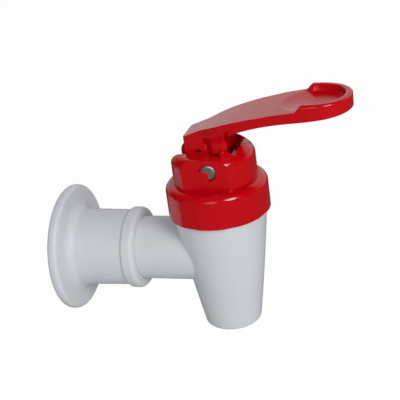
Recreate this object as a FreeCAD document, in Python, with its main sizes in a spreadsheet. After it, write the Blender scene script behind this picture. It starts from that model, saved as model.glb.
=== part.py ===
import FreeCAD, Part
import math
import os
import Sketcher

# Lever tap for a liquid bag: a flanged gland, the tap that is pressed into it, and the
# valve parts inside. Millimetres. The origin is the centre of the gland's flat back face,
# +X runs along the shank to the spout and +Z is up. The tap's pieces are drawn about the
# spout's own axis, so each has a Placement that moves it out to tap_axis.

SIZES = {
    # gland: flange, barrel and bead
    "tap_axis": 56.2,
    "flange_radius": 21.8,
    "flange_thickness": 3.5,
    "flange_round": 1.5,
    "flange_rise": 0.7,
    "hub_fillet": 3.2,
    "barrel_radius": 13.0,
    "barrel_draft": 0.35,
    "gland_length": 27.6,
    "bead_width": 4.4,
    "bead_proud": 0.95,
    "bead_round": 1.5,
    "gland_lip": 2.4,
    "lip_radius": 8.6,
    # tap body
    "shank_radius": 10.8,
    "shank_bore": 7.8,
    "press_gap": 0.08,
    "barb_proud": 0.45,
    "barb_width": 1.6,
    "barb_inset": 3.0,
    "spout_bottom": -26.9,
    "spout_end_radius": 9.5,
    "spout_top_radius": 15.7,
    "spout_round": 1.6,
    "outlet_radius": 7.2,
    "outlet_length": 7.0,
    "seat_hole": 5.8,
    "seat_height": -9.2,
    "seat_slope": 1.1,
    "chamber_radius": 9.7,
    "neck_radius": 14.4,
    "neck_top": 23.2,
    "collar_radius": 12.6,
    "collar_thickness": 1.5,
    # bonnet
    "skirt_bottom": 14.9,
    "skirt_gap": 0.25,
    "skirt_radius": 17.0,
    "cap_thickness": 2.94,
    "shoulder_step": 0.4,
    "thread_gap": 0.15,
    "boss_radius": 13.9,
    "boss_half_width": 11.5,
    "boss_height": 10.7,
    "ledge_round": 3.2,
    "lobe_rise": 2.0,
    "lobe_angle": 122.0,
    "sill_below_ledge": 5.5,
    "sill_thickness": 4.6,
    "slot_room": 2.2,
    "spring_pocket_radius": 6.5,
    "web_above_spring": 1.9,
    "grip_count": 8,
    "grip_depth": 0.22,
    "grip_phase": -62.0,
    # pivot
    "pin_x": 1.1,
    "pin_depth": 4.5,
    "pin_radius": 1.5,
    "pin_head_radius": 2.75,
    "pin_head_height": 1.3,
    "pin_dome": 0.7,
    "pin_recess": 0.9,
    "running_gap": 0.05,
    "press_angle": 20.0,
    # lever
    "tongue_half_width": 5.6,
    "side_gap": 0.2,
    "hub_radius": 3.4,
    "hub_gap": 0.5,
    "heel_reach": 7.7,
    "root_half_width": 7.3,
    "root_reach": 7.3,
    "root_corner": 3.6,
    "foot_gap": 0.12,
    "plate_half_width": 3.9,
    "fork_gap": 2.0,
    "toe_reach": 5.0,
    "toe_radius": 1.1,
    "heel_thickness": 5.58,
    "deck_rise": 14.88,
    "deck_thickness": 3.1,
    "lever_tip": 47.8,
    "paddle_half_width": 11.5,
    "rim_start": 31.4,
    "rim_ramp": 2.4,
    "rim_height": 2.1,
    "rim_width": 2.4,
    "dish_depth": 0.9,
    "dish_length": 20.4,
    # valve parts
    "strap_thickness": 2.0,
    "strap_half_width": 1.6,
    "crossbar_half_width": 3.7,
    "crossbar_thickness": 1.8,
    "lift_gap": 0.12,
    "rod_radius": 2.6,
    "spring_plate_height": 12.6,
    "spring_plate_thickness": 1.5,
    "spring_plate_radius": 6.2,
    "knob_radius": 3.4,
    "knob_height": 3.4,
    "wire_radius": 0.45,
    "spring_mean_radius": 5.7,
    "spring_turns": 6,
    "cup_wall": 1.2,
    "cup_radius": 7.6,
    "cup_foot": 3.0,
    "cup_gap": 0.06,
}

document = FreeCAD.newDocument("bag_tap")
sheet = document.addObject("Spreadsheet::Sheet", "Sizes")
for row, (alias, number) in enumerate(SIZES.items(), start=1):
    sheet.set("A%d" % row, alias)
    sheet.set("B%d" % row, str(number))
    sheet.setAlias("B%d" % row, alias)
document.recompute()


class Term:
    """A number together with the sheet formula that gives it."""

    def __init__(self, value, text):
        self.value = float(value)
        self.text = text

    def join(self, other, sign, value):
        return Term(value, "(%s %s %s)" % (self.text, sign, as_term(other).text))

    def __add__(self, other):
        return self.join(other, "+", self.value + as_term(other).value)

    def __sub__(self, other):
        return self.join(other, "-", self.value - as_term(other).value)

    def __mul__(self, other):
        return self.join(other, "*", self.value * as_term(other).value)

    def __truediv__(self, other):
        return self.join(other, "/", self.value / as_term(other).value)

    def __neg__(self):
        return Term(-self.value, "(-1 * %s)" % self.text)


def as_term(thing):
    """Let a plain number stand in a formula."""
    return thing if isinstance(thing, Term) else Term(thing, repr(float(thing)))


def size(alias):
    """The named size as a Term bound to its cell."""
    return Term(SIZES[alias], "Sizes." + alias)


def angled(name, degrees):
    """sin, cos or tan of a Term in degrees."""
    value = getattr(math, name)(math.radians(degrees.value))
    return Term(value, "%s(%s * 1 deg)" % (name, degrees.text))


def root(term):
    """Square root of a Term."""
    return Term(math.sqrt(term.value), "sqrt(%s)" % term.text)


def bind(thing, name, term):
    """Give a property its value through the sheet."""
    thing.setExpression(name, as_term(term).text)


def new_body(label):
    body = document.addObject("PartDesign::Body", label)
    body.Label = label
    return body


def plane_sketch(body, name, role, offset=None, shift=None):
    """An empty sketch on one of the body's own origin planes, moved off it or along it."""
    sketch = body.newObject("Sketcher::SketchObject", name)
    plane = [item for item in body.Origin.OriginFeatures if item.Role == role][0]
    sketch.AttachmentSupport = [(plane, "")]
    sketch.MapMode = "FlatFace"
    if offset is not None:
        bind(sketch, ".AttachmentOffset.Base.z", offset)
    if shift is not None:
        bind(sketch, ".AttachmentOffset.Base.x", shift)
    return sketch


def pin_point(sketch, geometry, position, point):
    """Hold one point of a sketch at the two Terms of its place."""
    for kind, term in (("DistanceX", point[0]), ("DistanceY", point[1])):
        term = as_term(term)
        index = sketch.addConstraint(
            Sketcher.Constraint(kind, -1, 1, geometry, position, term.value))
        sketch.setExpression("Constraints[%d]" % index, term.text)


def vector(point):
    return FreeCAD.Vector(as_term(point[0]).value, as_term(point[1]).value, 0)


def counter_clockwise(start, middle, end):
    """Whether an arc through three points turns to the left."""
    return (middle - start).cross(end - middle).z > 0


def draw_loop(sketch, corners):
    """Close a loop through corners; a corner of two points is an arc by way of the first."""
    arcs = [isinstance(corner[0], tuple) for corner in corners]
    ends = [corner[1] if bent else corner for corner, bent in zip(corners, arcs)]
    tails = []
    for index, (corner, bent) in enumerate(zip(corners, arcs)):
        start = vector(ends[index - 1])
        end = vector(ends[index])
        forward = True
        if bent:
            middle = vector(corner[0])
            forward = counter_clockwise(start, middle, end)
            first, last = (start, end) if forward else (end, start)
            line = Part.ArcOfCircle(first, middle, last)
        else:
            line = Part.LineSegment(start, end)
        sketch.addGeometry(line, False)
        tails.append((1, 2) if forward else (2, 1))
    for index, (head, tail) in enumerate(tails):
        after = (index + 1) % len(corners)
        sketch.addConstraint(
            Sketcher.Constraint("Coincident", index, tail, after, tails[after][0]))
        pin_point(sketch, index, tail, ends[index])
    for index, bent in enumerate(arcs):
        if bent:
            point = sketch.addGeometry(Part.Point(vector(corners[index][0])), True)
            pin_point(sketch, point, 1, corners[index][0])
            sketch.addConstraint(Sketcher.Constraint("PointOnObject", point, 1, index))


def outline(body, name, role, corners, offset=None, shift=None):
    """A sketch with one closed loop."""
    sketch = plane_sketch(body, name, role, offset, shift)
    draw_loop(sketch, corners)
    return sketch


def disc(body, name, role, centre, radius, offset=None):
    """A sketch with one circle."""
    sketch = plane_sketch(body, name, role, offset)
    circle = sketch.addGeometry(
        Part.Circle(vector(centre), FreeCAD.Vector(0, 0, 1), radius.value), False)
    pin_point(sketch, circle, 3, centre)
    index = sketch.addConstraint(Sketcher.Constraint("Radius", circle, radius.value))
    sketch.setExpression("Constraints[%d]" % index, radius.text)
    return sketch


def turn(body, name, kind, sketch, axis, degrees=None):
    """Revolve a sketch about its own H_Axis or V_Axis, as a solid or as a groove."""
    feature = body.newObject("PartDesign::" + kind, name)
    feature.Profile = sketch
    feature.ReferenceAxis = (sketch, [axis])
    if degrees is None:
        feature.Angle = 360.0
    else:
        feature.Midplane = True
        bind(feature, "Angle", degrees)
    document.recompute()
    return feature


def straight(body, name, kind, sketch, length, both=False, reverse=False):
    """Pad or pocket a sketch; both means half the length to each side."""
    feature = body.newObject("PartDesign::" + kind, name)
    feature.Profile = sketch
    feature.Midplane = both
    feature.Reversed = reverse
    bind(feature, "Length", length)
    document.recompute()
    return feature


def ring_edges(shape, radius, along, centre):
    """Names of full circular edges with a radius whose centre lies at a place on an axis."""
    names = []
    for index, edge in enumerate(shape.Edges, start=1):
        if not isinstance(edge.Curve, Part.Circle):
            continue
        place = getattr(edge.Curve.Center, along)
        if abs(edge.Curve.Radius - radius.value) < 1e-3 and abs(place - centre.value) < 1e-3:
            names.append("Edge%d" % index)
    return names


def round_edges(body, name, names, radius):
    """Fillet edges of the body's tip."""
    base = body.Tip
    feature = body.newObject("PartDesign::Fillet", name)
    feature.Base = (base, names)
    bind(feature, "Radius", radius)
    document.recompute()
    return feature


def stand_at(body, x=None, z=None):
    """Move a body out to its place on the part."""
    if x is not None:
        bind(body, ".Placement.Base.x", x)
    if z is not None:
        bind(body, ".Placement.Base.z", z)


# Places that several pieces share, all about the tap's own axis.
slot_half_width = size("tongue_half_width") + size("side_gap")
shank_end = size("gland_lip") + size("press_gap") - size("tap_axis")
ceiling = size("neck_top") + size("cup_gap")
shoulder_top = ceiling + size("cap_thickness")
ledge_height = shoulder_top + size("boss_height")
lobe_top = ledge_height + size("lobe_rise")
shoulder_round = size("skirt_radius") - size("boss_radius") - size("shoulder_step")
pin_height = ledge_height - size("pin_depth")
slot_floor = pin_height - size("hub_radius") - size("hub_gap")
spring_pocket_top = slot_floor - size("web_above_spring")
foot_height = ledge_height + size("foot_gap")
half_press = size("press_angle") / 2
toe_x = size("pin_x") - size("toe_reach") * angled("cos", half_press)
toe_height = pin_height - size("toe_reach") * angled("sin", half_press)
crossbar_bottom = toe_height + size("toe_radius") + size("lift_gap")
crossbar_top = crossbar_bottom + size("crossbar_thickness")
strap_left = toe_x - size("strap_thickness") / 2
strap_right = toe_x + size("strap_thickness") / 2
collar_seat = size("neck_top") - size("collar_thickness")
knob_bottom = size("seat_height") + size("cup_foot") + size("cup_gap")


def build_gland():
    """Flange with a rolled rim, drafted barrel, bead at the mouth and a stepped bore."""
    body = new_body("gland")
    face = size("flange_thickness")
    hub = size("barrel_radius") + size("barrel_draft")
    bead_start = size("gland_length") - size("bead_width")
    bead_radius = size("barrel_radius") + size("bead_proud")
    profile = outline(body, "gland_profile", "XZ_Plane", [
        (0, size("lip_radius")),
        (0, size("flange_radius")),
        (face, size("flange_radius")),
        (face + size("flange_rise"), hub),
        (bead_start, size("barrel_radius")),
        (bead_start, bead_radius),
        (size("gland_length"), bead_radius),
        (size("gland_length"), size("lip_radius")),
    ])
    turn(body, "gland_turned", "Revolution", profile, "H_Axis")
    shape = body.Shape
    rim = ring_edges(shape, size("flange_radius"), "x", as_term(0))
    rim += ring_edges(shape, size("flange_radius"), "x", face)
    round_edges(body, "rim_round", rim, size("flange_round"))
    hub_edge = ring_edges(body.Shape, hub, "x", face + size("flange_rise"))
    round_edges(body, "hub_fillet_edge", hub_edge, size("hub_fillet"))
    bead = ring_edges(body.Shape, bead_radius, "x", bead_start)
    round_edges(body, "bead_back", bead, size("bead_proud") * 0.95)
    bead = ring_edges(body.Shape, bead_radius, "x", size("gland_length"))
    round_edges(body, "bead_front", bead, size("bead_round"))
    bore = size("shank_radius") + size("press_gap")
    barb_end = size("gland_lip") + size("press_gap") + size("barb_inset")
    groove = outline(body, "bore_profile", "XZ_Plane", [
        (size("gland_lip"), 0),
        (size("gland_lip"), bore),
        (barb_end - size("press_gap"), bore),
        (barb_end - size("press_gap"), bore + size("barb_proud")),
        (barb_end + size("barb_width") + size("press_gap"), bore + size("barb_proud")),
        (barb_end + size("barb_width") + size("press_gap"), bore),
        (size("gland_length") + 1, bore),
        (size("gland_length") + 1, 0),
    ])
    turn(body, "bore_turned", "Groove", groove, "H_Axis")
    return body


def build_tap_body():
    """Shank and tapered spout in one moulding, with valve chamber, seat and outlet."""
    body = new_body("tap_body")
    top = size("skirt_bottom") - size("skirt_gap")
    middle_height = (size("spout_bottom") + top) / 2
    middle_radius = (size("spout_end_radius") + size("spout_top_radius")) / 2 + 0.25
    spout = outline(body, "spout_profile", "XZ_Plane", [
        (0, size("spout_bottom")),
        (size("spout_end_radius"), size("spout_bottom")),
        ((middle_radius, middle_height), (size("spout_top_radius"), top)),
        (size("neck_radius"), top),
        (size("neck_radius"), size("neck_top")),
        (0, size("neck_top")),
    ])
    turn(body, "spout_turned", "Revolution", spout, "V_Axis")
    barb_start = shank_end + size("barb_inset")
    barb_radius = size("shank_radius") + size("barb_proud")
    shank = outline(body, "shank_profile", "XZ_Plane", [
        (shank_end, 0),
        (shank_end, size("shank_radius") - 0.6),
        (barb_start, size("shank_radius")),
        (barb_start + size("barb_width") * 0.8, barb_radius),
        (barb_start + size("barb_width"), barb_radius),
        (barb_start + size("barb_width"), size("shank_radius")),
        (as_term(0), size("shank_radius")),
        (0, 0),
    ])
    turn(body, "shank_turned", "Revolution", shank, "H_Axis")
    chamber = outline(body, "chamber_profile", "XZ_Plane", [
        (0, size("spout_bottom") - 1),
        (size("outlet_radius"), size("spout_bottom") - 1),
        (size("outlet_radius"), size("spout_bottom") + size("outlet_length")),
        (size("seat_hole"), size("seat_height") - 3),
        (size("seat_hole"), size("seat_height")),
        (size("chamber_radius") - 0.4, size("seat_height")),
        (size("chamber_radius"), size("seat_height") + size("seat_slope")),
        (size("chamber_radius"), collar_seat),
        (size("collar_radius") + size("cup_gap"), collar_seat),
        (size("collar_radius") + size("cup_gap"), size("neck_top") + 1),
        (0, size("neck_top") + 1),
    ])
    turn(body, "chamber_turned", "Groove", chamber, "V_Axis")
    passage = outline(body, "passage_profile", "XZ_Plane", [
        (shank_end - 1, 0),
        (shank_end - 1, size("shank_bore")),
        (0, size("shank_bore")),
        (0, 0),
    ])
    turn(body, "passage_turned", "Groove", passage, "H_Axis")
    lip = ring_edges(body.Shape, size("spout_end_radius"), "z", size("spout_bottom"))
    round_edges(body, "spout_edge", lip, size("spout_round"))
    stand_at(body, x=size("tap_axis"))
    return body


def build_bonnet():
    """Screw cap, domed boss with two flats, lever slot, ramp pocket and stop lobe."""
    body = new_body("bonnet")
    outer = outline(body, "bonnet_profile", "XZ_Plane", [
        (0, size("skirt_bottom")),
        (size("skirt_radius"), size("skirt_bottom")),
        (size("skirt_radius"), shoulder_top),
        (size("boss_radius"), shoulder_top),
        (size("boss_radius"), ledge_height),
        (0, ledge_height),
    ])
    turn(body, "bonnet_turned", "Revolution", outer, "V_Axis")
    shoulder = ring_edges(body.Shape, size("skirt_radius"), "z", shoulder_top)
    round_edges(body, "shoulder_edge", shoulder, shoulder_round)
    brow = ring_edges(body.Shape, size("boss_radius"), "z", ledge_height)
    round_edges(body, "ledge_edge", brow, size("ledge_round"))

    # The lobe is a crescent that stands up behind the lever's root.
    dome_low = pin_height
    dome_rise = lobe_top - dome_low
    inner_foot = size("boss_radius") - size("ledge_round") - 1.4
    lobe = outline(body, "lobe_profile", "XZ_Plane", [
        (inner_foot, dome_low),
        (size("boss_radius"), dome_low),
        ((size("boss_radius") - dome_rise * 0.2929, dome_low + dome_rise * 0.7071),
         (size("boss_radius") - dome_rise, lobe_top)),
        (inner_foot - 3.0, lobe_top),
        (inner_foot - 3.0, dome_low),
    ])
    turn(body, "lobe_turned", "Revolution", lobe, "V_Axis", size("lobe_angle"))

    for side, sign in (("front", -1), ("back", 1)):
        near = size("boss_half_width") * sign
        far = size("skirt_radius") * sign * 1.2
        flat = outline(body, side + "_flat_profile", "XY_Plane", [
            (-size("skirt_radius") * 1.2, near),
            (size("skirt_radius") * 1.2, near),
            (size("skirt_radius") * 1.2, far),
            (-size("skirt_radius") * 1.2, far),
        ], offset=shoulder_top)
        straight(body, side + "_flat", "Pocket", flat, lobe_top, reverse=True)

    above = lobe_top + 5
    slot_end = size("pin_x") + size("hub_radius") + size("slot_room")
    slot = outline(body, "slot_profile", "XZ_Plane", [
        (-size("skirt_radius"), ledge_height - size("sill_below_ledge")),
        (-size("boss_radius") + size("sill_thickness"), ledge_height - size("sill_below_ledge")),
        (-size("boss_radius") + size("sill_thickness"), slot_floor),
        (slot_end, slot_floor),
        (slot_end, above),
        (-size("skirt_radius"), above),
    ])
    straight(body, "slot", "Pocket", slot, slot_half_width * 2, both=True)

    # The ramp lets the lever's root swing down by the press angle.
    tilt = size("press_angle")
    swing_gap = 0.25
    foot_rise = foot_height - pin_height
    ramp_left = size("pin_x") + foot_rise * (as_term(1) - angled("cos", tilt)) / angled("sin", tilt)
    ramp_right = size("pin_x") + (size("root_reach") - size("pin_x")) * angled("cos", tilt) \
        + foot_rise * angled("sin", tilt) + swing_gap
    ramp_drop = (ramp_right - ramp_left) * angled("tan", tilt)
    lean = (above - ledge_height + ramp_drop) * angled("tan", tilt)
    ramp = outline(body, "ramp_profile", "XZ_Plane", [
        (ramp_left - swing_gap, ledge_height),
        (ramp_right, ledge_height - ramp_drop - swing_gap),
        (ramp_right + lean, above),
        (ramp_left - swing_gap, above),
    ])
    straight(body, "ramp", "Pocket", ramp, (size("root_half_width") + 0.3) * 2, both=True)
    clear = outline(body, "ledge_clear_profile", "XZ_Plane", [
        (-size("skirt_radius"), ledge_height),
        (ramp_left + 2.5, ledge_height),
        (ramp_left + 5.0, above),
        (-size("skirt_radius"), above),
    ])
    straight(body, "ledge_clear", "Pocket", clear, size("skirt_radius") * 2, both=True)

    inside = outline(body, "inside_profile", "XZ_Plane", [
        (0, size("skirt_bottom") - 1),
        (size("neck_radius") + size("thread_gap"), size("skirt_bottom") - 1),
        (size("neck_radius") + size("thread_gap"), ceiling),
        (size("spring_pocket_radius"), ceiling),
        (size("spring_pocket_radius"), spring_pocket_top),
        (0, spring_pocket_top),
    ])
    turn(body, "inside_turned", "Groove", inside, "V_Axis")
    guide_gap = size("press_gap")
    guide_half = size("crossbar_half_width") + 0.2
    guide = outline(body, "guide_profile", "XY_Plane", [
        (strap_left - guide_gap, -guide_half),
        (strap_right + guide_gap, -guide_half),
        (strap_right + guide_gap, guide_half),
        (strap_left - guide_gap, guide_half),
    ], offset=spring_pocket_top - 1)
    straight(body, "guide", "Pocket", guide,
             slot_floor - spring_pocket_top + 2, reverse=True)

    pin_place = (size("pin_x"), pin_height)
    hole = disc(body, "pin_hole_profile", "XZ_Plane", pin_place,
                size("pin_radius") + size("running_gap"))
    straight(body, "pin_hole", "Pocket", hole, size("boss_half_width") * 3, both=True)
    # A sketch on the XZ plane faces the front, so a pocket from it runs to the back.
    recess = disc(body, "recess_profile", "XZ_Plane", pin_place,
                  size("pin_head_radius") + size("running_gap") * 2,
                  offset=size("boss_half_width") + 1)
    straight(body, "recess", "Pocket", recess,
             size("pin_recess") + size("pin_head_height") + 1)

    grip_face = size("skirt_radius") - size("grip_depth")
    grip = outline(body, "grip_profile", "XY_Plane", [
        (grip_face, -shoulder_round),
        (grip_face + 2, -shoulder_round),
        (grip_face + 2, shoulder_round),
        (grip_face, shoulder_round),
    ], offset=size("skirt_bottom") - 1)
    bind(grip, ".AttachmentOffset.Rotation.Angle", size("grip_phase"))
    first_grip = straight(body, "grip", "Pocket", grip,
                          shoulder_top - size("skirt_bottom") + 1, reverse=True)
    pattern = body.newObject("PartDesign::PolarPattern", "grips")
    pattern.Originals = [first_grip]
    pattern.Axis = (grip, ["N_Axis"])
    pattern.Angle = 360.0
    bind(pattern, "Occurrences", size("grip_count"))
    body.Tip = pattern
    document.recompute()
    stand_at(body, x=size("tap_axis"))
    return body


def build_lever():
    """Arched thumb lever: heel, root, paddle with a raised rim and dish, forked tongue."""
    body = new_body("lever")
    foot = foot_height
    deck = foot + size("deck_rise")
    heel = -size("heel_reach")
    heel_top = foot + size("heel_thickness")
    tip = size("lever_tip")
    under_start = size("root_reach") + 3.6
    side = outline(body, "side_profile", "XZ_Plane", [
        (heel, foot),
        (size("root_reach"), foot),
        (size("root_reach"), foot + size("deck_rise") * 0.2285),
        ((size("root_reach") + 0.95, foot + size("deck_rise") * 0.4234),
         (under_start, foot + size("deck_rise") * 0.5108)),
        ((under_start + 9.5, deck - size("deck_thickness") - 1.35),
         (under_start + 22.0, deck - size("deck_thickness") - 0.2)),
        (tip, deck - size("deck_thickness") + 0.9),
        (tip, deck + size("rim_height")),
        (size("rim_start") + size("rim_ramp"), deck + size("rim_height")),
        (size("rim_start"), deck - 0.05),
        ((size("rim_start") / 2 - 3.2, deck - 2.55), (heel, heel_top)),
    ])
    straight(body, "arm", "Pad", side, size("paddle_half_width") * 2, both=True)

    # Everything outside the lever's plan is cut away, first the paddle, then the root.
    wide = size("paddle_half_width")
    beyond = wide * 1.5
    heel_half = size("tongue_half_width")
    tip_start = tip - wide
    for label, sign in (("front", -1), ("back", 1)):
        plan = outline(body, label + "_plan_profile", "XY_Plane", [
            (heel - 1, beyond * sign),
            (heel - 1, (heel_half - 0.6) * sign),
            (heel, (heel_half - 0.6) * sign),
            (-0.3, heel_half * sign),
            ((4.6, (heel_half + 2.6) * sign), (12.0, (wide - 1.6) * sign)),
            ((20.0, (wide - 0.65) * sign), (tip_start - 4.0, wide * sign)),
            ((tip - wide * 0.33, (wide * 0.73) * sign), (tip, 0)),
            (tip + 1, 0),
            (tip + 1, beyond * sign),
        ])
        straight(body, label + "_plan", "Pocket", plan, deck * 2, reverse=True)
        waist = outline(body, label + "_root_profile", "XY_Plane", [
            (heel - 1, beyond * sign),
            (heel - 1, heel_half * sign),
            (-0.6, heel_half * sign),
            ((0.9, (heel_half - 0.7) * sign), (2.2, (size("root_half_width") - 0.5) * sign)),
            ((3.0, size("root_half_width") * sign), (4.2, size("root_half_width") * sign)),
            ((6.3, (size("root_half_width") - 1.2) * sign),
             (size("root_reach") + 0.1, (size("root_half_width") - 4.0) * sign)),
            (size("root_reach") + 0.1, beyond * sign),
        ])
        straight(body, label + "_root", "Pocket", waist, foot + size("heel_thickness"), reverse=True)

    # Thumb well inside the rim, then the dish in its floor.
    inner = size("rim_width")
    well = outline(body, "well_profile", "XY_Plane", [
        (size("rim_start") - 1, -(wide - inner)),
        (tip_start - 4.0, -(wide - inner)),
        ((tip - inner - 0.6, 0), (tip_start - 4.0, wide - inner)),
        (size("rim_start") - 1, wide - inner),
    ], offset=deck)
    straight(body, "well", "Pocket", well, size("rim_height") + 1, reverse=True)
    half = size("dish_length") / 2
    dish = outline(body, "dish_profile", "XZ_Plane", [
        (0, deck - size("dish_depth")),
        ((half * 0.5, deck - size("dish_depth") * 0.75), (half, deck)),
        (half, deck + 0.5),
        (0, deck + 0.5),
    ], shift=tip - inner - half)
    turn(body, "dish", "Groove", dish, "V_Axis")

    # Tongue: two plates that reach down to the pin, with a hub, a fork and a toe on each.
    pin_place = (size("pin_x"), pin_height)
    hub = size("hub_radius")
    tongue = outline(body, "tongue_profile", "XZ_Plane", [
        (size("pin_x") + hub + 0.6, foot + 1),
        (heel + 0.4, foot + 1),
        (heel + 2.0, pin_height + 0.6),
        (size("pin_x") - hub * 0.7071, pin_height - hub * 0.7071),
        ((size("pin_x"), pin_height - hub), (size("pin_x") + hub, pin_height)),
    ])
    straight(body, "tongue", "Pad", tongue, size("tongue_half_width") * 2, both=True)
    core_top = foot + 1.6
    core = outline(body, "core_profile", "XZ_Plane", [
        (heel + 1.6, slot_floor),
        (size("pin_x") + hub + 2, slot_floor),
        (size("pin_x") + hub + 2, foot),
        (size("pin_x") + hub - 0.8, core_top),
        (heel + 1.6, core_top),
    ])
    straight(body, "core", "Pocket", core, size("plate_half_width") * 2, both=True)
    toe_tip = (toe_x, toe_height)
    eye = disc(body, "hub_profile", "XZ_Plane", pin_place, size("pin_radius") + 1.3)
    straight(body, "hub_ring", "Pad", eye, size("plate_half_width") * 2 + 0.2, both=True)
    toe = disc(body, "toe_profile", "XZ_Plane", toe_tip, size("toe_radius"))
    straight(body, "toe_nose", "Pad", toe, size("plate_half_width") * 2 + 0.2, both=True)
    arm = outline(body, "toe_arm_profile", "XZ_Plane", [
        (toe_x, toe_height - size("toe_radius")),
        (size("pin_x"), pin_height - size("pin_radius") - 1.2),
        (size("pin_x"), pin_height),
        (toe_x + size("toe_radius") + 0.5, toe_height + size("toe_radius") - 0.6),
        (toe_x, toe_height + size("toe_radius")),
    ])
    straight(body, "toe_arm", "Pad", arm, size("plate_half_width") * 2 + 0.2, both=True)
    gap = outline(body, "fork_profile", "XZ_Plane", [
        (heel + 1.6, slot_floor),
        (size("pin_x") + hub + 2, slot_floor),
        (size("pin_x") + hub + 2, foot),
        (heel + 1.6, foot),
    ])
    straight(body, "fork", "Pocket", gap, size("fork_gap") * 2, both=True)
    hole = disc(body, "pivot_hole_profile", "XZ_Plane", pin_place,
                size("pin_radius") + size("running_gap"))
    straight(body, "pivot_hole", "Pocket", hole, size("boss_half_width") * 3, both=True)
    stand_at(body, x=size("tap_axis"))
    return body


def build_pin():
    """Domed steel pin, its head sunk in the front cheek and its end in the back one."""
    body = new_body("pivot_pin")
    head_front = -(size("boss_half_width") - size("pin_recess"))
    head_back = head_front + size("pin_head_height")
    tail = size("boss_half_width") - 0.6
    profile = outline(body, "pin_profile", "YZ_Plane", [
        (head_front - size("pin_dome"), 0),
        (head_front - size("pin_dome"), size("pin_head_radius") - size("pin_dome") * 1.6),
        ((head_front - size("pin_dome") * 0.7, size("pin_head_radius") - size("pin_dome") * 0.55),
         (head_front, size("pin_head_radius"))),
        (head_back, size("pin_head_radius")),
        (head_back, size("pin_radius")),
        (tail - 0.3, size("pin_radius")),
        (tail, size("pin_radius") - 0.3),
        (tail, 0),
    ])
    turn(body, "pin_turned", "Revolution", profile, "H_Axis")
    stand_at(body, x=size("tap_axis") + size("pin_x"), z=pin_height)
    return body


def build_stem():
    """Valve stem: knob for the seat cup, rod, spring plate, strap and lifting crossbar."""
    body = new_body("stem")
    knob_top = knob_bottom + size("knob_height")
    plate = size("spring_plate_height")
    plate_top = plate + size("spring_plate_thickness")
    strap_foot = spring_pocket_top - 4.7
    turned = outline(body, "stem_profile", "XZ_Plane", [
        (0, knob_bottom),
        (size("knob_radius") - 0.6, knob_bottom),
        (size("knob_radius"), knob_bottom + 0.6),
        (size("knob_radius"), knob_top),
        (size("rod_radius") - 0.6, knob_top),
        (size("rod_radius") - 0.6, knob_top + 2.0),
        (size("rod_radius"), knob_top + 2.0),
        (size("rod_radius"), plate),
        (size("spring_plate_radius"), plate),
        (size("spring_plate_radius"), plate_top),
        (size("rod_radius") + 1.2, plate_top),
        (size("rod_radius"), plate_top + 2.0),
        (size("rod_radius"), strap_foot + 1.6),
        (0, strap_foot + 1.6),
    ])
    turn(body, "stem_turned", "Revolution", turned, "V_Axis")
    strap = outline(body, "strap_profile", "XZ_Plane", [
        (size("rod_radius") - 0.4, strap_foot),
        (size("rod_radius") - 0.4, strap_foot + 1.6),
        (strap_right, strap_foot + 2.4),
        (strap_right, crossbar_top),
        (strap_left, crossbar_top),
        (strap_left, strap_foot + 0.8),
        (strap_left + 0.8, strap_foot),
    ])
    straight(body, "strap", "Pad", strap, size("strap_half_width") * 2, both=True)
    bar = outline(body, "crossbar_profile", "XZ_Plane", [
        (strap_left, crossbar_bottom),
        (strap_right, crossbar_bottom),
        (strap_right, crossbar_top),
        (strap_left, crossbar_top),
    ])
    straight(body, "crossbar", "Pad", bar, size("crossbar_half_width") * 2, both=True)
    stand_at(body, x=size("tap_axis"))
    return body


def build_spring():
    """Compression spring between the stem's plate and the bonnet."""
    body = new_body("spring")
    low = size("spring_plate_height") + size("spring_plate_thickness") + size("wire_radius") \
        + size("cup_gap")
    high = spring_pocket_top - size("wire_radius") - size("cup_gap")
    wire = disc(body, "wire_profile", "XZ_Plane", (size("spring_mean_radius"), low),
                size("wire_radius"))
    coil = body.newObject("PartDesign::AdditiveHelix", "coil")
    coil.Profile = wire
    coil.ReferenceAxis = (wire, ["V_Axis"])
    coil.Mode = "height-turns-angle"
    bind(coil, "Height", high - low)
    bind(coil, "Turns", size("spring_turns"))
    document.recompute()
    stand_at(body, x=size("tap_axis"))
    return body


def build_seat_cup():
    """Silicone cup: closed foot on the seat, sleeve round the stem and clamped collar."""
    body = new_body("seat_cup")
    foot = size("seat_height") + size("cup_gap")
    foot_top = foot + size("cup_foot") - size("cup_gap")
    inner = size("cup_radius") - size("cup_wall")
    socket = size("knob_radius") + size("cup_gap")
    neck = size("rod_radius") - 0.6 + size("cup_gap")
    knob_top = foot_top + size("cup_gap") + size("knob_height")
    profile = outline(body, "cup_profile", "XZ_Plane", [
        (0, foot),
        (size("cup_radius") - 0.8, foot),
        (size("cup_radius"), foot + 0.8),
        (size("cup_radius"), collar_seat),
        (size("collar_radius"), collar_seat + 0.02),
        (size("collar_radius"), size("neck_top")),
        (inner, size("neck_top")),
        (inner, knob_top + 3.4),
        (inner - 1.0, knob_top + 1.8),
        (neck, knob_top + 1.8),
        (neck, knob_top + size("cup_gap")),
        (socket, knob_top + size("cup_gap")),
        (socket, foot_top),
        (0, foot_top),
    ])
    turn(body, "cup_turned", "Revolution", profile, "V_Axis")
    stand_at(body, x=size("tap_axis"))
    return body


def write_parts(bodies):
    """Check every object of the document, then write one STEP file a body."""
    document.recompute()
    for item in document.Objects:
        if "Invalid" in item.State or "Error" in item.State:
            raise RuntimeError("%s failed: %s" % (item.Name, item.State))
    os.makedirs("parts", exist_ok=True)
    for body in bodies:
        shape = body.Shape
        if shape.isNull() or not shape.isValid() or len(shape.Solids) != 1:
            raise RuntimeError("%s is not one valid solid" % body.Label)
        shape.exportStep("parts/%s.step" % body.Label)
        print("%-10s volume %9.1f  box %s" % (body.Label, shape.Volume, shape.BoundBox))


write_parts([
    build_gland(),
    build_tap_body(),
    build_bonnet(),
    build_lever(),
    build_pin(),
    build_stem(),
    build_spring(),
    build_seat_cup(),
])
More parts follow.
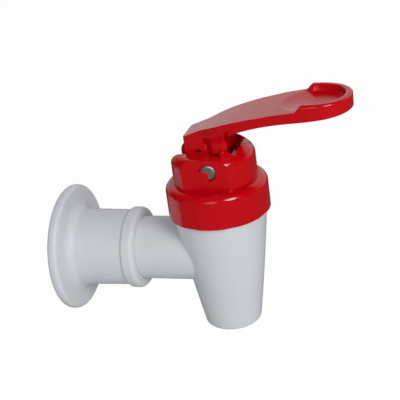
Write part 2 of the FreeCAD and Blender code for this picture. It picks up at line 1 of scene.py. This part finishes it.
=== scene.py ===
import bpy
import math
import numpy as np
from mathutils import Matrix, Vector


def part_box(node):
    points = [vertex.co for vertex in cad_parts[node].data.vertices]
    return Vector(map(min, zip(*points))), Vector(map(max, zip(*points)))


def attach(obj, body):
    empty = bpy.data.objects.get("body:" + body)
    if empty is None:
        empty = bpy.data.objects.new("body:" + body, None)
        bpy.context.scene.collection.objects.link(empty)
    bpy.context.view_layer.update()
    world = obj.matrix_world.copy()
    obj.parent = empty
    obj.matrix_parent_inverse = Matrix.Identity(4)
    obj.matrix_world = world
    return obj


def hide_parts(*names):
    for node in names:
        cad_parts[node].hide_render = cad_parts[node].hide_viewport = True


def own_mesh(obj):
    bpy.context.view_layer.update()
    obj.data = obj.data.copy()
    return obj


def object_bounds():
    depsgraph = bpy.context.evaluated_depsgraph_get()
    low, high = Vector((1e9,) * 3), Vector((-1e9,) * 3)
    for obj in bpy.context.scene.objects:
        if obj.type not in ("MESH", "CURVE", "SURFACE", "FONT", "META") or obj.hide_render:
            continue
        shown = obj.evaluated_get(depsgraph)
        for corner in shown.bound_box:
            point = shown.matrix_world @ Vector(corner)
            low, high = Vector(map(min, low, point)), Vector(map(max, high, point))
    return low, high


# Lever tap of a bag in box: glossy red bonnet and lever, satin white gland and tap body.
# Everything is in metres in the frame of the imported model.

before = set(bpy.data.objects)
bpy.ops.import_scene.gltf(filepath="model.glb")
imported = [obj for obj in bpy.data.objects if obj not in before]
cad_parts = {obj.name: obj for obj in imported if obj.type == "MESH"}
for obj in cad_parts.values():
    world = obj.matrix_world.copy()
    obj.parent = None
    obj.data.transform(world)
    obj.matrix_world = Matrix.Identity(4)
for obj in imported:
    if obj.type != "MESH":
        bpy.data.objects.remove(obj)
cad_box = [list(map(float, corner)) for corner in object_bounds()]

MM = 0.001


def linear(hex_colour):
    """sRGB hex to linear RGBA."""
    channels = [int(hex_colour[i:i + 2], 16) / 255 for i in (1, 3, 5)]
    return tuple(c / 12.92 if c <= 0.04045 else ((c + 0.055) / 1.055) ** 2.4
                 for c in channels) + (1.0,)


def add_node(tree, kind, settings=None, inputs=None):
    """Add one node, set its properties and feed its sockets with values or links."""
    node = tree.nodes.new(kind)
    for name, value in (settings or {}).items():
        setattr(node, name, value)
    for name, value in (inputs or {}).items():
        if isinstance(value, bpy.types.NodeSocket):
            tree.links.new(value, node.inputs[name])
        else:
            node.inputs[name].default_value = value
    return node


def new_material(name):
    """An empty node material with its output node."""
    material = bpy.data.materials.new(name)
    material.use_nodes = True
    tree = material.node_tree
    tree.nodes.clear()
    output = tree.nodes.new("ShaderNodeOutputMaterial")
    return material, tree, output


def moulded_plastic(name, colour, deep, roughness, ripple_mm, ripple_height, subsurface):
    """Injection-moulded plastic: faint flow variation in colour and gloss, soft ripple."""
    material, tree, output = new_material(name)
    place = add_node(tree, "ShaderNodeTexCoord").outputs["Object"]
    flow = add_node(tree, "ShaderNodeTexNoise", inputs={
        "Vector": place, "Scale": 1 / (18 * MM), "Detail": 3.0, "Roughness": 0.5})
    tint = add_node(tree, "ShaderNodeMix", {"data_type": "RGBA"}, {
        "Factor": flow.outputs["Fac"], "A": linear(deep), "B": linear(colour)})
    gloss = add_node(tree, "ShaderNodeMapRange", inputs={
        "Value": flow.outputs["Fac"], "To Min": roughness * 0.85, "To Max": roughness * 1.2})
    ripple = add_node(tree, "ShaderNodeTexNoise", inputs={
        "Vector": place, "Scale": 1 / (ripple_mm * MM), "Detail": 2.0})
    bump = add_node(tree, "ShaderNodeBump", inputs={
        "Height": ripple.outputs["Fac"], "Strength": 0.35, "Distance": ripple_height * MM})
    shader = add_node(tree, "ShaderNodeBsdfPrincipled", inputs={
        "Base Color": tint.outputs["Result"], "Roughness": gloss.outputs["Result"],
        "Normal": bump.outputs["Normal"], "IOR": 1.49})
    shader.inputs["Subsurface Weight"].default_value = subsurface
    shader.inputs["Subsurface Radius"].default_value = (1.0, 0.9, 0.85)
    shader.inputs["Subsurface Scale"].default_value = 1.2 * MM
    tree.links.new(shader.outputs["BSDF"], output.inputs["Surface"])
    return material


def drawn_steel(name, colour, roughness, grain_mm):
    """Bright stainless steel with fine turning or drawing lines."""
    material, tree, output = new_material(name)
    place = add_node(tree, "ShaderNodeTexCoord").outputs["Object"]
    grain = add_node(tree, "ShaderNodeTexNoise", inputs={
        "Vector": place, "Scale": 1 / (grain_mm * MM), "Detail": 4.0})
    gloss = add_node(tree, "ShaderNodeMapRange", inputs={
        "Value": grain.outputs["Fac"], "To Min": roughness * 0.7, "To Max": roughness * 1.5})
    bump = add_node(tree, "ShaderNodeBump", inputs={
        "Height": grain.outputs["Fac"], "Strength": 0.3, "Distance": 0.01 * MM})
    shader = add_node(tree, "ShaderNodeBsdfPrincipled", inputs={
        "Base Color": linear(colour), "Metallic": 1.0,
        "Roughness": gloss.outputs["Result"], "Normal": bump.outputs["Normal"]})
    tree.links.new(shader.outputs["BSDF"], output.inputs["Surface"])
    return material


def dress(node, material):
    """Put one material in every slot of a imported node."""
    thing = bpy.data.objects[node]
    for slot in thing.material_slots:
        slot.material = material
    if not thing.material_slots:
        thing.data.materials.append(material)


red_polypropylene = moulded_plastic(
    "glossy_red_polypropylene", "#CC0010", "#C0000E", 0.16, 2.4, 0.02, 0.0)
white_polyethylene = moulded_plastic(
    "satin_white_polyethylene", "#DCDFE2", "#D5D9DC", 0.34, 1.6, 0.02, 0.25)
white_polypropylene = moulded_plastic(
    "satin_white_polypropylene", "#DBDEE1", "#D4D8DB", 0.32, 1.8, 0.02, 0.2)
natural_acetal = moulded_plastic(
    "matt_natural_acetal", "#E6E4DE", "#DFDDD6", 0.45, 1.2, 0.02, 0.2)
clear_silicone = moulded_plastic(
    "soft_milky_silicone", "#DADDE0", "#D2D6DA", 0.5, 1.0, 0.03, 0.5)
turned_steel = drawn_steel("turned_stainless_steel", "#DEDBD6", 0.4, 0.25)
spring_wire = drawn_steel("drawn_spring_wire", "#BEBDBA", 0.3, 0.4)

for node, material in (
        ("gland", white_polyethylene), ("tap_body", white_polypropylene),
        ("bonnet", red_polypropylene), ("lever", red_polypropylene),
        ("pivot_pin", turned_steel), ("stem", natural_acetal),
        ("spring", spring_wire), ("seat_cup", clear_silicone)):
    dress(node, material)

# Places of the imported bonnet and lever, in millimetres about the tap's own axis.
RIM_HEIGHT = 2.1        # rim above the deck
DECK_RISE = 14.88       # deck above the foot of heel and root
TIP_TRIM = 0.9          # the moulded tip is a little shorter than the solid's
bonnet_low, bonnet_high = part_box("bonnet")
tap_axis = (bonnet_low[0] + bonnet_high[0]) / 2
lever_low, lever_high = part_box("lever")
heel_x = (lever_low[0] - tap_axis) / MM
deck_z = lever_high[2] / MM - RIM_HEIGHT
foot_z = deck_z - DECK_RISE
tip_x = (lever_high[0] - tap_axis) / MM - TIP_TRIM
lowest = cad_box[0][2]

# Lever: where the skin bends, and the rim, the dish and the roundings.
NECK_END = 11.0         # the underside is as wide as the paddle from here on
FOOT_ROUND = 0.35
FOOT_STRAIGHT = 3.0     # the root rises straight this far, then flares
FLARE_TOP = 2.3         # the flare ends this far below the deck
EDGE_ROUND = 0.25
RIM_EDGE_ROUND = 0.75   # added to the edge's round where the rim is full
RIM_START, RIM_RAMP = 30.4, 2.8
RIM_BAND, RIM_WALL = 2.75, 0.7
TIP_LENGTH = 13.6
DISH_DEPTH, DISH_RADIUS, DISH_FROM_TIP = 0.9, 10.0, 12.6
SIDE_ROWS = 19

# Tongue plates and lifting toes, outlined as x and height above the foot.
PLATE = [(5.0, 1.0), (heel_x + 0.9, 1.0), (heel_x + 2.1, -4.0), (-1.3, -7.0), (1.1, -8.0),
         (3.5, -7.0), (4.5, -4.6)]
TOE = [(1.1, -4.62), (-2.22, -4.99), (-3.3, -4.5), (-3.82, -4.39), (-4.6, -4.7),
       (-4.9, -5.5), (-4.6, -6.3), (-3.82, -6.59), (1.1, -7.32)]
PLATE_INNER, PLATE_OUTER, FORK_HALF = 3.95, 5.6, 2.0

# Spring and the quarter web over the pin's head.
WIRE_RADIUS, COIL_RADIUS, COIL_TURNS = 0.45, 5.7, 6
KEEPER_PROUD, KEEPER_THICKNESS, KEEPER_OVERLAP = 0.17, 0.16, 0.2
KEEPER_FROM, KEEPER_TO = 166, 272


def curve(stations, values, at):
    """Smooth curve through a table: monotone cubic with harmonic-mean slopes."""
    stations, values = np.array(stations, float), np.array(values, float)
    step = np.diff(stations)
    secant = np.diff(values) / step
    slope = np.zeros(len(values))
    same = secant[:-1] * secant[1:] > 0
    slope[1:-1][same] = 2 * (secant[:-1] * secant[1:])[same] / (secant[:-1] + secant[1:])[same]
    slope[0], slope[-1] = secant[0], secant[-1]
    k = np.clip(np.searchsorted(stations, at) - 1, 0, len(step) - 1)
    t = np.clip((at - stations[k]) / step[k], 0, 1)
    return ((1 + 2 * t) * (1 - t) ** 2 * values[k] + t * (1 - t) ** 2 * step[k] * slope[k]
            + t * t * (3 - 2 * t) * values[k + 1] + t * t * (t - 1) * step[k] * slope[k + 1])


def smooth_step(t):
    """Ease from 0 to 1 as t goes from 0 to 1."""
    t = np.clip(t, 0, 1)
    return t * t * (3 - 2 * t)


def deck_half_width(x):
    """Half the paddle's width, with a round tip."""
    body = curve(
        [heel_x, heel_x + 0.25, heel_x + 0.9, -4, -1.2, 0, 2, 4, 8, 12, 16, 20, 24, 31, 50],
        [4.6, 5.2, 5.55, 5.6, 5.7, 6.35, 7.45, 8.25, 9.25, 9.9, 10.4, 10.75, 11.05, 11.35, 11.4],
        x)
    share = np.clip((x - tip_x + TIP_LENGTH) / TIP_LENGTH, 0, 1)
    return body * (1 - share ** 2.5) ** (1 / 2.1)


def deck_height(x):
    """Height of the deck's arch."""
    return deck_z + curve(
        [heel_x, -4, 0, 4, 8, 12, 16, 20, 24, 28, 32, 50],
        [-9.3, -8.0, -6.6, -5.25, -4.1, -3.15, -2.3, -1.6, -0.9, -0.4, 0, 0], x)


def lever_bottom(x):
    """Foot of the heel and root, then the underside of the paddle."""
    return foot_z + curve(
        [heel_x, 6.85, 7.1, 7.5, 8.2, 9.4, 11, 12.6, 16.5, 20.7, 25.5, 30.6, 38, 50],
        [0, 0, 2.2, 4.3, 5.9, 7.0, 7.75, 8.35, 9.4, 10.25, 10.95, 11.4, 12.0, 12.9], x)


def lower_half_width(x):
    """Half width at the bottom: heel, waist, rounded root, then out to the paddle's edge."""
    near = curve(
        [heel_x, heel_x + 0.35, heel_x + 1.2, -1.8, -0.7, 0.3, 1.2, 2.1, 3.2, 4.6, 5.9, 6.7,
         7.1, 7.5, 8.2, 9.4, NECK_END],
        [4.3, 5.25, 5.6, 5.6, 5.3, 5.2, 6.1, 7.05, 7.3, 7.3, 7.1, 6.7,
         6.4, 7.1, 8.2, 9.2, 9.75], np.minimum(x, NECK_END))
    wide = deck_half_width(x)
    return np.where(x < NECK_END, np.minimum(near, wide), wide)


def add_mesh(name, points, faces, material, sharp_angle=None):
    """Link a mesh of points in metres; smooth it where faces meet below an angle in degrees."""
    mesh = bpy.data.meshes.new(name)
    mesh.from_pydata(points, [], faces)
    if sharp_angle is not None:
        mesh.polygons.foreach_set("use_smooth", [True] * len(mesh.polygons))
        mesh.set_sharp_from_angle(angle=math.radians(sharp_angle))
    mesh.materials.append(material)
    thing = bpy.data.objects.new(name, mesh)
    bpy.context.collection.objects.link(thing)
    return thing


def in_metres(points):
    """Millimetres about the tap's axis to metres in the frame."""
    return [(tap_axis + x * MM, y * MM, z * MM) for x, y, z in points]


def side_columns(x):
    """Half loops of the skin from the bottom's middle, round the foot and up to the deck."""
    wide, high, low = deck_half_width(x), deck_height(x), lever_bottom(x)
    foot = lower_half_width(x)
    base = FOOT_ROUND * np.minimum(1, foot / 2)
    columns = [(share * (foot - base), low) for share in np.linspace(0, 1, 7)[:-1]]
    columns += [(foot - base + base * math.sin(angle), low + base * (1 - math.cos(angle)))
                for angle in np.linspace(0, math.pi / 2, 6)]
    bend_low = low + base + np.minimum(FOOT_STRAIGHT, 0.3 * (high - low))
    bend_high = high - FLARE_TOP
    for share in np.linspace(0, 1, SIDE_ROWS + 1)[1:]:
        z = low + base + share * (high - EDGE_ROUND - low - base)
        blend = smooth_step((z - bend_low) / np.maximum(bend_high - bend_low, 0.3))
        columns.append((foot + (wide - foot) * blend, z))
    return columns


def top_columns(x):
    """Half loops of the skin from the deck's edge inwards: rim, rounding and dish."""
    wide, high = deck_half_width(x), deck_height(x)
    edge_x = np.concatenate([x, x[::-1]])
    edge_y = np.concatenate([wide, -wide[::-1]])
    rim = RIM_HEIGHT * smooth_step((x - RIM_START) / RIM_RAMP)
    fall = np.where(rim > 0, EDGE_ROUND + RIM_EDGE_ROUND * rim / RIM_HEIGHT, EDGE_ROUND)
    near_edge = np.array([0, .004, .01, .02, .035, .05, .07, .095, .12, .145, .17, .195, .22, .25])
    columns = []
    for share in 1 - np.concatenate([near_edge, np.linspace(.29, 1, 16)]):
        y = share * wide
        gap = np.min(np.hypot(edge_x[None, :] - x[:, None], edge_y[None, :] - y[:, None]), axis=1)
        bite = np.clip(1 - gap / fall, 0, 1)
        reach = np.hypot(x - (tip_x - DISH_FROM_TIP), y) / DISH_RADIUS
        z = high + rim * smooth_step((RIM_BAND - gap) / RIM_WALL)
        z = z - fall * (1 - np.sqrt(np.maximum(0, 1 - bite ** 2)))
        z = z - DISH_DEPTH * np.clip(1 - reach ** 2, 0, 1)
        columns.append((y, z))
    return columns


def lever_moulding():
    """The whole thumb lever: one lofted skin, two tongue plates down to the pin and toes."""
    x = np.unique(np.concatenate([
        np.linspace(heel_x, heel_x + 1.2, 9), np.linspace(heel_x + 1.2, 12, 90),
        np.linspace(12, 30, 60), np.linspace(30, tip_x - 3, 75),
        tip_x - 3 * np.cos(np.linspace(0, math.pi / 2, 40)[1:-1]) ** 2, [tip_x - 0.0005]]))
    sides, top = side_columns(x), top_columns(x)
    half = np.array([np.stack([x, y, z], axis=1) for y, z in sides + top])
    # The outer wall reaches up to the rim's own rounding.
    lift = top[0][1] - (deck_height(x) - EDGE_ROUND)
    for row in range(SIDE_ROWS):
        half[len(sides) - SIDE_ROWS + row][:, 2] += (row + 1) / SIDE_ROWS * lift
    mirrored = half[1:-1][::-1] * np.array([1, -1, 1])
    ring = np.concatenate([half, mirrored])
    around, along = ring.shape[:2]
    points = [tuple(point) for point in ring.transpose(1, 0, 2).reshape(-1, 3)]
    faces = [(i * around + j, (i + 1) * around + j,
              (i + 1) * around + (j + 1) % around, i * around + (j + 1) % around)
             for i in range(along - 1) for j in range(around)]
    faces.append(tuple(range(around)))
    faces.append(tuple((along - 1) * around + j for j in reversed(range(around))))
    for shape, near, far in ((PLATE, -PLATE_OUTER, -PLATE_INNER),
                             (PLATE, PLATE_INNER, PLATE_OUTER),
                             (TOE, -PLATE_INNER, -FORK_HALF),
                             (TOE, FORK_HALF, PLATE_INNER)):
        start, count = len(points), len(shape)
        points += [(px, y, foot_z + pz) for y in (near, far) for px, pz in shape]
        faces.append(tuple(start + j for j in range(count)))
        faces.append(tuple(start + count + j for j in reversed(range(count))))
        faces += [(start + (j + 1) % count, start + j, start + count + j,
                   start + count + (j + 1) % count) for j in range(count)]
    lever = add_mesh("lever_moulding", in_metres(points), faces, red_polypropylene, 38)
    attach(lever, "lever")
    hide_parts("lever")


def pin_keeper():
    """Quarter web of the bonnet over the front of the pin's head."""
    low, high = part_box("pivot_pin")
    centre_x, centre_z = (low[0] + high[0]) / 2, (low[2] + high[2]) / 2
    front = low[1] - KEEPER_PROUD * MM
    radius = (high[0] - low[0]) / 2 + KEEPER_OVERLAP * MM
    spokes = np.radians(np.linspace(KEEPER_FROM, KEEPER_TO, 22))
    fan = [(0.0, 0.0)] + [(radius * math.cos(a), radius * math.sin(a)) for a in spokes]
    count = len(fan)
    points = [(centre_x + u, front + depth, centre_z + w)
              for depth in (0.0, KEEPER_THICKNESS * MM) for u, w in fan]
    faces = [tuple(range(count)), tuple(reversed(range(count, 2 * count)))]
    faces += [((j + 1) % count, j, count + j, count + (j + 1) % count) for j in range(count)]
    keeper = add_mesh("pin_keeper", points, faces, red_polypropylene)
    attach(keeper, "tap")


def closing_spring():
    """Coil of drawn wire between the stem's plate and the bonnet, pressed short from below."""
    low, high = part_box("spring")
    start, end = low[2] / MM + WIRE_RADIUS, high[2] / MM - WIRE_RADIUS
    turn = np.linspace(0, 1, COIL_TURNS * 32 + 1)
    angle = turn * COIL_TURNS * 2 * math.pi
    section = np.linspace(0, 2 * math.pi, 12, endpoint=False)
    radius = COIL_RADIUS + WIRE_RADIUS * np.cos(section)[None, :]
    rings = np.stack([radius * np.cos(angle)[:, None], radius * np.sin(angle)[:, None],
                      (start + turn * (end - start))[:, None]
                      + WIRE_RADIUS * np.sin(section)[None, :]], axis=2)
    along, around = rings.shape[:2]
    faces = [(i * around + j, i * around + (j + 1) % around,
              (i + 1) * around + (j + 1) % around, (i + 1) * around + j)
             for i in range(along - 1) for j in range(around)]
    faces.append(tuple(reversed(range(around))))
    faces.append(tuple((along - 1) * around + j for j in range(around)))
    coil = add_mesh("closing_spring", in_metres(rings.reshape(-1, 3)), faces, spring_wire, 40)
    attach(coil, "tap")
    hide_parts("spring")
    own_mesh(coil)


lever_moulding()
pin_keeper()
closing_spring()


def make_camera():
    """Long lens, to the right of the tap's front and above it, rolled a little."""
    azimuth, elevation, roll = (math.radians(a) for a in (19.2, 23.8, -8.04))
    distance = 350.0 * MM
    target = Vector((tap_axis - 6.56 * MM, 0.0, 17.85 * MM))
    back = Vector((math.sin(azimuth) * math.cos(elevation),
                   -math.cos(azimuth) * math.cos(elevation), math.sin(elevation)))
    level = Vector((math.cos(azimuth), math.sin(azimuth), 0.0))
    rise = back.cross(level)
    right = math.cos(roll) * level + math.sin(roll) * rise
    up = -math.sin(roll) * level + math.cos(roll) * rise
    data = bpy.data.cameras.new("main_camera")
    data.sensor_width = 36.0
    data.lens = 94.5
    camera = bpy.data.objects.new("main_camera", data)
    turn = Matrix((right, up, back)).transposed()
    camera.matrix_world = Matrix.Translation(target + back * distance) @ turn.to_4x4()
    bpy.context.collection.objects.link(camera)
    bpy.context.scene.camera = camera


def area_lamp(name, azimuth, elevation, distance, width, height, power, colour="#FFFFFF"):
    """A soft box that looks at the cap from a bearing measured from the front."""
    centre = Vector((tap_axis, 0.0, 20 * MM))
    a, e = math.radians(azimuth), math.radians(elevation)
    way = Vector((math.sin(a) * math.cos(e), -math.cos(a) * math.cos(e), math.sin(e)))
    data = bpy.data.lights.new(name, "AREA")
    data.shape = "RECTANGLE"
    data.size, data.size_y = width, height
    data.energy = power
    data.color = linear(colour)[:3]
    lamp = bpy.data.objects.new(name, data)
    lamp.matrix_world = Matrix.Translation(centre + way * distance) \
        @ way.to_track_quat("Z", "Y").to_matrix().to_4x4()
    bpy.context.collection.objects.link(lamp)


def make_world():
    """White to the eye; reflections see white only behind and above; dim fill light."""
    world = bpy.data.worlds.new("studio")
    world.use_nodes = True
    tree = world.node_tree
    tree.nodes.clear()
    path = add_node(tree, "ShaderNodeLightPath")
    way = add_node(tree, "ShaderNodeTexCoord").outputs["Generated"]
    split = add_node(tree, "ShaderNodeSeparateXYZ", inputs={"Vector": way})
    behind = add_node(tree, "ShaderNodeMapRange", {"interpolation_type": "SMOOTHSTEP"}, {
        "Value": split.outputs["Y"], "From Min": 0.2, "From Max": 0.8,
        "To Min": 0.02, "To Max": 0.75})
    fill = add_node(tree, "ShaderNodeBackground", inputs={
        "Color": linear("#FBFBFF"), "Strength": 0.36})
    mirror = add_node(tree, "ShaderNodeBackground", inputs={
        "Color": (1, 1, 1, 1), "Strength": behind.outputs["Result"]})
    white = add_node(tree, "ShaderNodeBackground", inputs={
        "Color": (1, 1, 1, 1), "Strength": 1.0})
    first = add_node(tree, "ShaderNodeMixShader", inputs={0: path.outputs["Is Glossy Ray"]})
    tree.links.new(fill.outputs[0], first.inputs[1])
    tree.links.new(mirror.outputs[0], first.inputs[2])
    second = add_node(tree, "ShaderNodeMixShader", inputs={0: path.outputs["Is Camera Ray"]})
    tree.links.new(first.outputs[0], second.inputs[1])
    tree.links.new(white.outputs[0], second.inputs[2])
    output = add_node(tree, "ShaderNodeOutputWorld")
    tree.links.new(second.outputs[0], output.inputs["Surface"])
    bpy.context.scene.world = world


def make_floor():
    """Pale sheet below the tap; bright to the eye, yet it still takes a soft shadow."""
    half = 3.0
    height = lowest - 45 * MM
    corners = [(-half, -half, height), (half, -half, height),
               (half, half, height), (-half, half, height)]
    material, tree, output = new_material("pale_paper_sweep")
    path = add_node(tree, "ShaderNodeLightPath")
    paper = add_node(tree, "ShaderNodeBsdfDiffuse", inputs={"Color": linear("#F2F3F4")})
    glow = add_node(tree, "ShaderNodeEmission", inputs={"Color": (1, 1, 1, 1), "Strength": 1.0})
    share = add_node(tree, "ShaderNodeMath", {"operation": "MULTIPLY"}, {
        0: path.outputs["Is Camera Ray"], 1: 0.97})
    mix = add_node(tree, "ShaderNodeMixShader", inputs={0: share.outputs[0]})
    tree.links.new(paper.outputs[0], mix.inputs[1])
    tree.links.new(glow.outputs[0], mix.inputs[2])
    dark = add_node(tree, "ShaderNodeEmission", inputs={
        "Color": (1, 1, 1, 1), "Strength": 0.08})
    final = add_node(tree, "ShaderNodeMixShader", inputs={0: path.outputs["Is Glossy Ray"]})
    tree.links.new(mix.outputs[0], final.inputs[1])
    tree.links.new(dark.outputs[0], final.inputs[2])
    tree.links.new(final.outputs[0], output.inputs["Surface"])
    floor = add_mesh("floor", corners, [(0, 1, 2, 3)], material)


make_camera()
make_world()
make_floor()
area_lamp("key_softbox", 46, 30, 0.9, 0.32, 0.32, 3.8)
area_lamp("front_fill", 0, 20, 1.2, 0.45, 0.45, 1.5, "#FAFBFF")

scene = bpy.context.scene
scene.view_settings.view_transform = "Standard"
